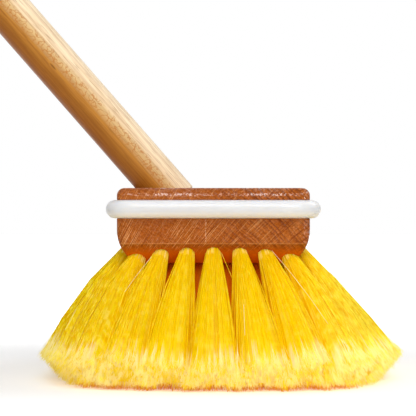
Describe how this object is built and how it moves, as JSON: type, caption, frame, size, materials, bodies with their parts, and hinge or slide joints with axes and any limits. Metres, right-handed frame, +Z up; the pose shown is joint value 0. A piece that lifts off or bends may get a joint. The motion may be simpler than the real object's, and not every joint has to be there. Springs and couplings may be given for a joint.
{
  "type": "deck brush",
  "caption": "Deck scrubbing brush: round-edged hardwood block with flared bristle tufts, a bumper cord round its rim and a long slanted push-in handle.",
  "frame": {"origin": "on the floor under the middle of the block, at the flat trimmed tip of the middle tuft's centre strand", "axes": "+Z up; Y along the block; X across it, with the handle leaning up towards -X"},
  "size_m": [0.9176, 0.2892, 1.0026],
  "materials": {
    "block_wood": "satin varnish on reddish hardwood",
    "handle_wood": "satin varnish on pale hardwood",
    "bumper_vinyl": "soft satin vinyl",
    "bristle": "glossy synthetic filament with pale flagged tips"
  },
  "bodies": {
    "head": {"block": "block_wood", "bumper_cord": "bumper_vinyl", "bristles_outer": "bristle", "bristles_second": "bristle", "bristles_inner": "bristle", "bristles_middle": "bristle"},
    "handle": {"handle": "handle_wood"}
  },
  "joints": [
    {"name": "handle_pull_out", "type": "slide", "parent": "head", "child": "handle", "axis": [-0.6587, 0, 0.7524], "range_m": [0, 0.05]}
  ]
}
